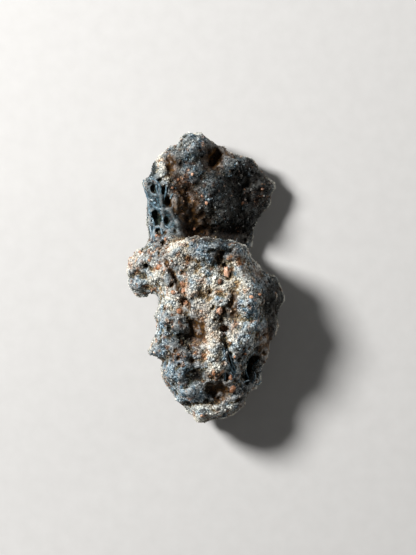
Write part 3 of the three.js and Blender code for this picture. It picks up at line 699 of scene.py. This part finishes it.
def describe_skin(lump):
    """Stores what the materials and the grains need to know of each place on the lump, from 0 to 1."""
    points, normals = places_of(lump), normals_of(lump)
    soft = smoothed(lump, normals, FINE_ROUNDS)
    upward = soft[:, 2] / np.linalg.norm(soft, axis=1)
    # How far each place lies under its surroundings, near and wide.
    fine = ((smoothed(lump, points, FINE_ROUNDS) - points) * normals).sum(1)
    broad = ((smoothed(lump, points, BROAD_ROUNDS) - points) * normals).sum(1)
    hollow = ramp(fine / FINE_DEPTH, -0.1, 1.0) * 0.7 + ramp(broad / BROAD_DEPTH, -0.1, 1.0) * 0.8
    # Slow and quick changes of the sand from place to place.
    drift = waves(points, 3.2 * MM, 61.0)
    tint = waves(points, 1.0 * MM, 67.0)
    stain = waves(points, 0.9 * MM, 71.0)
    # What faces the view, what faces away, and the swells that face sideways; those swells are painted paler
    # as a rim highlight, partly standing for the pale clear glass at the edges.
    face = ramp(upward, -0.4, 0.1)
    back = 1 - face
    blueness = strength_at(BLUE, points)
    sideways = ramp(-upward, -0.4, -0.15) * ramp(upward, -0.25, 0.0)
    rim_highlight = sideways * ramp(-broad / SWELL_HEIGHT, -0.1, 0.5) * (1 - np.clip(blueness, 0, 1))
    pale = np.clip(strength_at(PALE, points) * face, 0, 1)
    blue = blueness * face * (0.8 + 0.9 * tint) + 0.6 * ramp(tint, 0.1, 0.4)
    net = np.clip(strength_at(NET, points) * face, 0, 1)
    marks = {
        # The hollow mark sets how much painted shade darkens each place.
        "hollow": np.clip(hollow, 0, 1) * (1 - 0.4 * net),
        "pale": pale + 0.6 * ramp(drift, 0.1, 0.5) * back + 0.8 * rim_highlight,
        "rust": strength_at(RUST, points) * face * (0.7 + 0.9 * stain) + 0.6 * ramp(stain, 0.2, 0.5),
        "blue": blue + 0.6 * ramp(-drift, 0.05, 0.5) * back - 0.6 * rim_highlight,
        "amber": strength_at(AMBER, points) * face * (0.5 + 0.5 * ramp(broad / SWELL_HEIGHT, -1.2, 0.2)),
        # The soot mark is partly soot-dark glass and partly painted shadow, with a little more on everything
        # that faces away.
        "soot": strength_at(SOOT_AND_SHADE, points) * face * (1 - 0.7 * rim_highlight) * (1 - 0.8 * pale) + 0.35 * back,
        "net": net,
        "ridge": ramp(-fine / RIDGE_HEIGHT, 0.0, 1.0),
    }
    for name, values in marks.items():
        store(lump, name, np.clip(values, 0, 1))
    return sorted(marks)


# ------------------------------------------------------------------------------ the sand grains
class Skin:
    """The lump's triangles and their marks, for scattering grains over them."""

    def __init__(self, lump, marks):
        lump.data.calc_loop_triangles()
        triangles = np.empty(len(lump.data.loop_triangles) * 3, np.int32)
        lump.data.loop_triangles.foreach_get("vertices", triangles)
        corners = triangles.reshape(-1, 3)
        self.corner = places_of(lump)[corners]
        across = np.cross(self.corner[:, 1] - self.corner[:, 0], self.corner[:, 2] - self.corner[:, 0])
        self.area = np.linalg.norm(across, axis=1) / 2
        self.normal = across / np.maximum(2 * self.area, 1e-15)[:, None]
        self.middle = self.corner.mean(1)
        for mark in marks:
            values = np.empty(len(lump.data.vertices), np.float32)
            lump.data.attributes[mark].data.foreach_get("value", values)
            setattr(self, mark, values[corners].mean(1))

    def scatter(self, count, liking, rng):
        """Chosen triangles and a random place in each, where a liking is stated for every triangle."""
        odds = self.area * np.clip(liking, 0, None) * ramp(self.middle[:, 2], *BARE_BAND)
        chosen = rng.choice(len(odds), count, p=odds / odds.sum())
        u, v = rng.uniform(size=(2, count, 1))
        beyond = u + v > 1
        u, v = np.where(beyond, 1 - u, u), np.where(beyond, 1 - v, v)
        a, b, c = self.corner[chosen].transpose(1, 0, 2)
        return chosen, a + u * (b - a) + v * (c - a)


def unit_ball(subdivisions):
    """The corners and faces of a ball with a radius of 1."""
    deselect()
    bpy.ops.mesh.primitive_ico_sphere_add(subdivisions=subdivisions, radius=1.0)
    ball = bpy.context.object
    corners = places_of(ball)
    faces = np.array([polygon.vertices[:] for polygon in ball.data.polygons])
    bpy.ops.object.delete()
    return corners, faces


def grain_shape(ball, stretch, rng):
    """The corners of one angular sand grain of about unit size."""
    corners = ball * rng.uniform(*CORNER_REACH, (len(ball), 1))
    return corners * [rng.uniform(*span) for span in (GRAIN_THICKNESS, GRAIN_WIDTH, (1.0, stretch))]


def turned_at_random(count, rng):
    """Rotation matrices, evenly spread over all turns."""
    q = rng.normal(size=(count, 4))
    w, x, y, z = (q / np.linalg.norm(q, axis=1, keepdims=True)).T
    return np.stack([
        1 - 2 * (y * y + z * z), 2 * (x * y - z * w), 2 * (x * z + y * w),
        2 * (x * y + z * w), 1 - 2 * (x * x + z * z), 2 * (y * z - x * w),
        2 * (x * z - y * w), 2 * (y * z + x * w), 1 - 2 * (x * x + y * y),
    ], 1).reshape(-1, 3, 3)


def piece_from(name, corners, faces, material):
    """A piece of the body from plain arrays."""
    mesh = bpy.data.meshes.new(name)
    mesh.from_pydata(corners.tolist(), [], faces.tolist())
    piece = bpy.data.objects.new(name, mesh)
    link(piece)
    mesh.materials.append(material)
    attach(piece, BODY)
    return piece


def fuse_grains(
    name, skin, liking, material, seed, count, tones, radius=GRAIN_RADIUS, stain=0.0, stretch=1.6
):
    """One piece: many grains, each half sunk where it fused to the skin, in the colour of its place."""
    rng = np.random.default_rng(seed)
    ball, faces = unit_ball(subdivisions=1)
    shapes = np.array([grain_shape(ball, stretch, rng) for _ in range(GRAIN_SHAPES)])
    chosen, places = skin.scatter(count, liking, rng)
    radii = radius * np.exp(rng.normal(*RADIUS_SPREAD, count))
    centres = places + skin.normal[chosen] * (radii * GRAIN_RISE)[:, None]
    outlines = shapes[rng.integers(GRAIN_SHAPES, size=count)]
    corners = np.einsum("nij,nkj->nki", turned_at_random(count, rng), outlines)
    corners = corners * radii[:, None, None] + centres[:, None]
    corners = np.clip(corners, np.array(CAD_BOX[0]) - OVERHANG, np.array(CAD_BOX[1]) + OVERHANG)
    faces = faces[None] + len(ball) * np.arange(count)[:, None, None]
    grains = piece_from(name, corners.reshape(-1, 3), faces.reshape(-1, 3), material)
    marks = {mark: getattr(skin, mark)[chosen] for mark in ("pale", "blue", "soot", "hollow")}
    marks["rust"] = np.maximum(np.maximum(skin.rust, 0.5 * skin.amber)[chosen], stain)
    marks["soot"] = marks["soot"] * np.where(rng.random(count) < CLEAN_SHARE, CLEAN_SOOT_AND_SHADE, 1.0)
    marks["tone"] = rng.uniform(*tones, count)
    for mark, values in marks.items():
        store(grains, mark, np.repeat(values, len(ball)))


# ------------------------------------------------------------------------------ pebbles and threads
def below(tree, x, y):
    """The place on the skin under a point of the view."""
    return tree.ray_cast(Vector((x, y, CAD_BOX[1][2] + MM)), Vector((0, 0, -1)))[0]


def set_pebbles(lump, material, seed):
    """One piece: the larger stained grains, each half sunk in the face."""
    rng = np.random.default_rng(seed)
    tree = BVHTree.FromObject(lump, bpy.context.evaluated_depsgraph_get())
    ball, faces = unit_ball(subdivisions=2)
    corners, tones, contact_shade = [], [], []
    for x, y, across, along, tone, turn in PEBBLES:
        salt = rng.uniform(0, 50)
        swell = 1 + 0.4 * waves(ball, 1.1, salt) + 0.4 * (nodules(ball, 0.8, salt) - NUB_LEVEL)
        bumpy = ball * swell[:, None]
        u, v = bumpy[:, 0] * across, bumpy[:, 1] * along
        xs = u * math.cos(turn) - v * math.sin(turn)
        ys = u * math.sin(turn) + v * math.cos(turn)
        height = PEBBLE_HEIGHT * min(across, along)
        on_skin = np.stack([xs, ys, bumpy[:, 2] * height], 1) + np.array(below(tree, x, y))
        corners.append(on_skin + (0, 0, PEBBLE_RISE * height))
        tones.append(np.full(len(ball), tone))
        # Each pebble's underside is marked for painted shade where it meets the skin.
        contact_shade.append(ramp(-ball[:, 2], -0.6, 0.0))
    faces = faces[None] + len(ball) * np.arange(len(PEBBLES))[:, None, None]
    pebbles = piece_from("stained_pebbles", np.concatenate(corners), faces.reshape(-1, 3), material)
    store(pebbles, "tone", np.concatenate(tones))
    store(pebbles, "hollow", np.concatenate(contact_shade))


def string_threads(tree, material, seed):
    """One piece: the glass threads, as round strands that swell and sag over the open cells."""
    rng = np.random.default_rng(seed)
    data = bpy.data.curves.new("threads", "CURVE")
    data.dimensions = "3D"
    data.bevel_depth = MM
    data.bevel_resolution = 2
    data.resolution_u = 5
    data.use_fill_caps = True
    for radius, *stops in THREADS:
        spline = data.splines.new("BEZIER")
        spline.bezier_points.add(len(stops) - 1)
        for point, (x, y) in zip(spline.bezier_points, stops):
            point.co = below(tree, x * MM, y * MM) + Vector((0, 0, -THREAD_SINK * radius * MM))
            point.radius = radius * rng.uniform(*THREAD_SWELL)
            point.handle_left_type = point.handle_right_type = "AUTO"
    strands = bpy.data.objects.new("glass_threads", data)
    link(strands)
    pick(strands)
    bpy.ops.object.convert(target="MESH")
    threads = bpy.context.object
    threads.data.materials.clear()
    threads.data.materials.append(material)
    shade_smoothly(threads)
    push_out(threads, 0.06 * MM * waves(places_of(threads), 0.35 * MM, 4.4))
    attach(threads, BODY)


# ------------------------------------------------------------------------------ colours
# Ramps from dark to light: places on the ramp, and the colour at each.
PLAIN_SAND = [
    (0.05, (0.018, 0.024, 0.028)),
    (0.4, (0.09, 0.105, 0.11)),
    (0.65, (0.24, 0.26, 0.25)),
    (0.95, (0.60, 0.60, 0.56)),
]
KINDS_OF_SAND = {
    "Pale": [
        (0.05, (0.09, 0.10, 0.10)),
        (0.35, (0.41, 0.395, 0.335)),
        (0.6, (0.72, 0.68, 0.57)),
        (0.95, (0.93, 0.90, 0.79)),
    ],
    "Blue": [
        (0.05, (0.012, 0.026, 0.04)),
        (0.35, (0.075, 0.14, 0.19)),
        (0.65, (0.21, 0.32, 0.40)),
        (0.95, (0.55, 0.66, 0.70)),
    ],
    "Rust": [
        (0.05, (0.035, 0.012, 0.004)),
        (0.35, (0.16, 0.062, 0.017)),
        (0.65, (0.39, 0.165, 0.052)),
        (0.95, (0.68, 0.43, 0.25)),
    ],
}
AMBER_GLASS = [(0.3, (0.014, 0.006, 0.001)), (0.5, (0.066, 0.030, 0.006)), (0.7, (0.21, 0.11, 0.034))]
NET_GLASS = [(0.1, (0.005, 0.010, 0.013)), (0.5, (0.014, 0.032, 0.043)), (0.9, (0.065, 0.12, 0.145))]
THREAD_GLASS = [(0.3, (0.025, 0.045, 0.06)), (0.55, (0.09, 0.14, 0.17)), (0.75, (0.32, 0.40, 0.43))]
PEBBLE_STAIN = [
    (0.0, (0.05, 0.022, 0.007)),
    (0.35, (0.18, 0.06, 0.015)),
    (0.6, (0.42, 0.155, 0.05)),
    (1.0, (0.66, 0.36, 0.21)),
]
PAPER = [(0.0, (0.50, 0.49, 0.475)), (1.0, (0.55, 0.54, 0.525))]
# What the painted shade in hollows lets through, from none of it to all of it: a brown-tinted darkening that
# stands for shade.
HOLLOW_SHADE = [
    (0.0, (1, 1, 1)),
    (0.35, (0.60, 0.44, 0.26)),
    (0.7, (0.15, 0.098, 0.054)),
    (1.0, (0.045, 0.030, 0.016)),
]
# The darkening for soot-dark glass and for painted shadow.
SOOT_AND_SHADE_TINT = (0.068, 0.064, 0.050, 1)
PALE_RIDGE_TINT = (0.72, 0.74, 0.72, 1)
SHADE_BETWEEN_GRAINS = (0.01, 0.01, 0.01, 1)
PEBBLE_GAP = (0.05, 0.016, 0.006, 1)
PEBBLE_FLECKS = ((0.25, 0.12, 0.05, 1), (0.9, 0.72, 0.62, 1))  # on a dark one and on a pale one


# ------------------------------------------------------------------------------ materials
# A Mix node's sockets for colours can only be told apart by their numbers.
MIX_SHARE, MIX_A, MIX_B, MIX_RESULT = 0, 6, 7, 2


class Nodes:
    """A short way to add nodes to a material or a group."""

    def __init__(self, tree):
        self.tree = tree

    def add(self, kind, inputs=(), **settings):
        node = self.tree.nodes.new(kind)
        for name, value in settings.items():
            setattr(node, name, value)
        for key, value in dict(inputs).items():
            self.set(node, key, value)
        return node

    def set(self, node, key, value):
        if isinstance(value, bpy.types.NodeSocket):
            self.tree.links.new(value, node.inputs[key])
        else:
            node.inputs[key].default_value = value

    def place(self):
        return self.add("ShaderNodeTexCoord").outputs["Object"]

    def clouds(self, where, size, detail):
        """Noise with features of a given size: a Noise Texture's outputs."""
        return self.add("ShaderNodeTexNoise", {"Vector": where, "Scale": 1 / size, "Detail": detail}).outputs

    def group(self, group, inputs):
        return self.add("ShaderNodeGroup", inputs, node_tree=group).outputs

    def attribute(self, name):
        return self.add("ShaderNodeAttribute", attribute_name=name).outputs["Fac"]

    def math(self, operation, a, b=0.0, c=0.0, clamp=False):
        node = self.add("ShaderNodeMath", operation=operation, use_clamp=clamp)
        for index, value in enumerate((a, b, c)):
            self.set(node, index, value)
        return node.outputs[0]

    def scaled(self, value, times, plus):
        return self.math("MULTIPLY_ADD", value, times, plus)

    def mix(self, share, a, b, blend="MIX"):
        inputs = {MIX_SHARE: share, MIX_A: a, MIX_B: b}
        node = self.add("ShaderNodeMix", inputs, data_type="RGBA", blend_type=blend)
        return node.outputs[MIX_RESULT]

    def ramp(self, share, stops):
        node = self.add("ShaderNodeValToRGB", {"Fac": share})
        elements = node.color_ramp.elements
        while len(elements) < len(stops):
            elements.new(0.5)
        for element, (place, colour) in zip(elements, stops):
            element.position = place
            element.color = (*colour, 1)
        return node.outputs["Color"]


def new_material(name):
    material = bpy.data.materials.new(name)
    material.use_nodes = True
    shader = material.node_tree.nodes["Principled BSDF"]
    shader.inputs["Specular IOR Level"].default_value = 0.25
    return material, Nodes(material.node_tree), shader


def new_group(name, inputs, outputs):
    """A node group with named inputs (kind and value at rest) and outputs (kind)."""
    group = bpy.data.node_groups.new(name, "ShaderNodeTree")
    for label, (kind, value) in inputs.items():
        socket = group.interface.new_socket(label, in_out="INPUT", socket_type="NodeSocket" + kind)
        socket.default_value = value
    for label, kind in outputs.items():
        group.interface.new_socket(label, in_out="OUTPUT", socket_type="NodeSocket" + kind)
    n = Nodes(group)
    return group, n, n.add("NodeGroupInput").outputs, n.add("NodeGroupOutput")


def speckle_group():
    """Angular cells of sand: a chance for each cell, and how near its edge a place is."""
    group, n, given, result = new_group(
        "sand_speckle",
        {"Size": ("Float", 0.34 * MM)},
        {"Chance": "Float", "Gap": "Float"},
    )
    where = n.place()
    drift = n.clouds(where, 0.5 * MM, 1.0)["Color"]
    bend = {0: drift, 1: (0.25 * MM,) * 3, 2: where}
    bent = n.add("ShaderNodeVectorMath", bend, operation="MULTIPLY_ADD").outputs[0]
    cells = {"Vector": bent, "Scale": n.math("DIVIDE", 1.0, given["Size"])}
    colour = n.add("ShaderNodeTexVoronoi", cells).outputs["Color"]
    edge = n.add("ShaderNodeTexVoronoi", cells, feature="DISTANCE_TO_EDGE").outputs["Distance"]
    n.set(result, "Chance", n.add("ShaderNodeSeparateColor", {"Color": colour}).outputs[0])
    fade = {"Value": edge, "From Min": 0.0, "From Max": 0.16, "To Min": 1.0, "To Max": 0.0}
    n.set(result, "Gap", n.add("ShaderNodeMapRange", fade).outputs[0])
    return group


def hollow_shade_group():
    """Brown-black painted shade, darkest in the deepest hollows."""
    group, n, given, result = new_group(
        "hollow_shade",
        {"Color": ("Color", (1, 1, 1, 1)), "Hollow": ("Float", 0.0), "Strength": ("Float", 0.8)},
        {"Color": "Color"},
    )
    amount = n.math("MULTIPLY", given["Hollow"], given["Strength"], clamp=True)
    n.set(result, "Color", n.mix(1.0, given["Color"], n.ramp(amount, HOLLOW_SHADE), blend="MULTIPLY"))
    return group


def sand_colour_group():
    """The colour of sand, from dark to light by each grain's chance, and by how the sand melted there,
    darkened where soot-dark glass or painted shadow lies.
    """
    marks = {kind: ("Float", 0.0) for kind in [*KINDS_OF_SAND, "Soot"]}
    inputs = {"Chance": ("Float", 0.5)} | marks
    group, n, given, result = new_group("sand_colour", inputs, {"Color": "Color"})
    colour = n.ramp(given["Chance"], PLAIN_SAND)
    for kind, stops in KINDS_OF_SAND.items():
        colour = n.mix(given[kind], colour, n.ramp(given["Chance"], stops))
    n.set(result, "Color", n.mix(given["Soot"], colour, SOOT_AND_SHADE_TINT, blend="MULTIPLY"))
    return group


def sand_colour(n, group, chance):
    """The group's colour where the piece's own marks are read."""
    marks = {kind: n.attribute(kind.lower()) for kind in [*KINDS_OF_SAND, "Soot"]}
    return n.group(group, {"Chance": chance} | marks)["Color"]


def shaded_in_hollows(n, group, colour, strength):
    """The colour darkened with painted shade where the piece is hollow."""
    inputs = {"Color": colour, "Hollow": n.attribute("hollow"), "Strength": strength}
    return n.group(group, inputs)["Color"]


def fused_sand_material(speckle, sand, hollow_shade):
    """Sand that melted together, glazed with brown and blue-grey glass."""
    material, n, shader = new_material("fused_sand")
    where = n.place()
    net, amber, soot = n.attribute("net"), n.attribute("amber"), n.attribute("soot")
    cells = n.group(speckle, {"Size": 0.36 * MM})
    fine = n.group(speckle, {"Size": 0.21 * MM})
    chance = n.scaled(cells["Chance"], 0.7, n.scaled(fine["Chance"], 0.5, -0.1))
    colour = sand_colour(n, sand, chance)
    colour = n.mix(net, colour, n.ramp(chance, NET_GLASS))
    cloud = n.scaled(soot, -0.07, n.clouds(where, 0.8 * MM, 4.0)["Fac"])
    colour = n.mix(amber, colour, n.ramp(cloud, AMBER_GLASS))
    # Ridges are made paler, less so where the face is darkened.
    ridge_paling = n.math("MULTIPLY", n.attribute("ridge"), n.scaled(soot, -0.27, 0.34))
    colour = n.mix(ridge_paling, colour, PALE_RIDGE_TINT)
    # Painted shade in the gaps between the sand's cells.
    colour = n.mix(n.math("MULTIPLY", cells["Gap"], 0.5), colour, SHADE_BETWEEN_GRAINS)
    # Painted shade in the hollows, weaker on the brown glass.
    n.set(shader, "Base Color", shaded_in_hollows(n, hollow_shade, colour, n.scaled(amber, -0.7, 0.8)))
    glassy = n.math("MAXIMUM", net, amber)
    n.set(shader, "Roughness", n.scaled(glassy, -0.3, 0.7))
    height = n.scaled(cells["Gap"], -0.5, n.clouds(where, 0.2 * MM, 2.0)["Fac"])
    tooth = {"Height": height, "Distance": 0.12 * MM, "Strength": n.scaled(glassy, -0.6, 0.8)}
    n.set(shader, "Normal", n.add("ShaderNodeBump", tooth).outputs["Normal"])
    return material


def grain_material(name, sand, hollow_shade, roughness):
    """Grains that each have their own tone, in the colour of the sand where they lie."""
    material, n, shader = new_material(name)
    colour = sand_colour(n, sand, n.attribute("tone"))
    # Painted shade on grains that lie in hollows.
    n.set(shader, "Base Color", shaded_in_hollows(n, hollow_shade, colour, 0.75))
    shader.inputs["Roughness"].default_value = roughness
    return material


def thread_material():
    """Blue-grey glass in clouds of darker and paler."""
    material, n, shader = new_material("thread_glass")
    cloud = n.clouds(n.place(), 0.5 * MM, 3.0)["Fac"]
    n.set(shader, "Base Color", n.ramp(cloud, THREAD_GLASS))
    shader.inputs["Roughness"].default_value = 0.22
    return material


def pebble_material(speckle, hollow_shade):
    """Iron-stained quartz with paler flecks and dark seams."""
    material, n, shader = new_material("stained_pebble")
    tone = n.attribute("tone")
    fine = n.group(speckle, {"Size": 0.2 * MM})
    colour = n.ramp(tone, PEBBLE_STAIN)
    colour = n.mix(n.math("MULTIPLY", fine["Chance"], 0.5), colour, n.mix(tone, *PEBBLE_FLECKS))
    colour = n.mix(n.math("MULTIPLY", fine["Gap"], 0.7), colour, PEBBLE_GAP)
    # Painted shade on each pebble's underside, read from its hollow mark.
    n.set(shader, "Base Color", shaded_in_hollows(n, hollow_shade, colour, 0.8))
    shader.inputs["Roughness"].default_value = 0.4
    return material


# ------------------------------------------------------------------------------ the setting
def floor():
    bpy.ops.mesh.primitive_plane_add(size=FLOOR_SIZE)
    ground = bpy.context.object
    ground.name = "floor"
    material, n, shader = new_material("pale_paper")
    tooth = n.clouds(n.place(), 2.5 * MM, 2.0)["Fac"]
    n.set(shader, "Base Color", n.ramp(tooth, PAPER))
    shader.inputs["Roughness"].default_value = 0.9
    ground.data.materials.append(material)


def lamp(name, direction, size, power):
    """A round lamp that shines on the middle of the floor."""
    light = bpy.data.lights.new(name, "AREA")
    light.shape = "DISK"
    light.size = size
    light.energy = power
    holder = bpy.data.objects.new(name, light)
    link(holder)
    toward = Vector(direction).normalized()
    holder.location = toward * LAMP_DISTANCE
    holder.rotation_euler = (-toward).to_track_quat("-Z", "Y").to_euler()


def studio():
    lamp("key", (-0.72, 0.42, 0.68), size=0.13, power=5.4)
    lamp("rim_highlight", (0.88, 0.40, 0.10), size=0.12, power=0.9)
    world = bpy.data.worlds.new("studio")
    bpy.context.scene.world = world
    world.use_nodes = True
    background = world.node_tree.nodes["Background"]
    background.inputs["Color"].default_value = (1, 1, 1, 1)
    background.inputs["Strength"].default_value = SKY
    bpy.context.scene.view_settings.view_transform = "Standard"


def camera():
    data = bpy.data.cameras.new("camera")
    data.sensor_fit = "VERTICAL"
    data.sensor_height = SENSOR_HEIGHT
    face_height = (CAD_BOX[0][2] + CAD_BOX[1][2]) / 2
    data.lens = SENSOR_HEIGHT * (CAMERA_HEIGHT - face_height) / VIEW_HEIGHT
    data.clip_start = 0.01
    data.clip_end = 5.0
    holder = bpy.data.objects.new("camera", data)
    holder.location = (*VIEW_CENTRE, CAMERA_HEIGHT)
    link(holder)
    bpy.context.scene.camera = holder


# ------------------------------------------------------------------------------ putting it together
def scatter_sand(lump, marks, sand, hollow_shade):
    """The four pieces of single grains, in loose clumps, sparse on smooth glass."""
    skin = Skin(lump, marks)
    clumps = 0.2 + 1.1 * ramp(waves(skin.middle, 1.1 * MM, 90.0), -0.3, 0.3)
    cover = clumps * (1 - 0.92 * skin.net) * (1 - 0.8 * skin.amber)
    dull = grain_material("frosted_grains", sand, hollow_shade, roughness=0.55)
    glassy = grain_material("glassy_grains", sand, hollow_shade, roughness=0.25)
    fuse_grains(
        "milky_grains", skin, cover * (0.04 + 1.6 * skin.pale), dull,
        seed=1, count=9800, tones=(0.3, 1.0),
    )
    fuse_grains(
        "grey_grains", skin, cover * (0.5 + skin.blue), dull,
        seed=2, count=9800, tones=(0.05, 0.9),
    )
    fuse_grains(
        "stained_grains", skin, cover * (0.02 + skin.rust) ** 2, dull,
        seed=3, count=2600, tones=(0.1, 0.85), stain=0.7,
    )
    # Dark beads crowd where the face is darkened, so they add to the painted shadow too.
    fuse_grains(
        "dark_beads", skin, cover * (0.3 + skin.blue + skin.soot), glassy,
        seed=4, count=8000, tones=(0.0, 0.45), radius=BEAD_RADIUS, stretch=1.1,
    )


def dress_the_lump():
    speckle, sand, hollow_shade = speckle_group(), sand_colour_group(), hollow_shade_group()
    lump, spanned = make_lump()
    marks = describe_skin(lump)
    lump.data.materials.append(fused_sand_material(speckle, sand, hollow_shade))
    shade_smoothly(lump)
    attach(lump, BODY)
    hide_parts(NODE)
    scatter_sand(lump, marks, sand, hollow_shade)
    set_pebbles(lump, pebble_material(speckle, hollow_shade), seed=5)
    string_threads(spanned, thread_material(), seed=8)


deselect()
camera()
studio()
floor()
dress_the_lump()
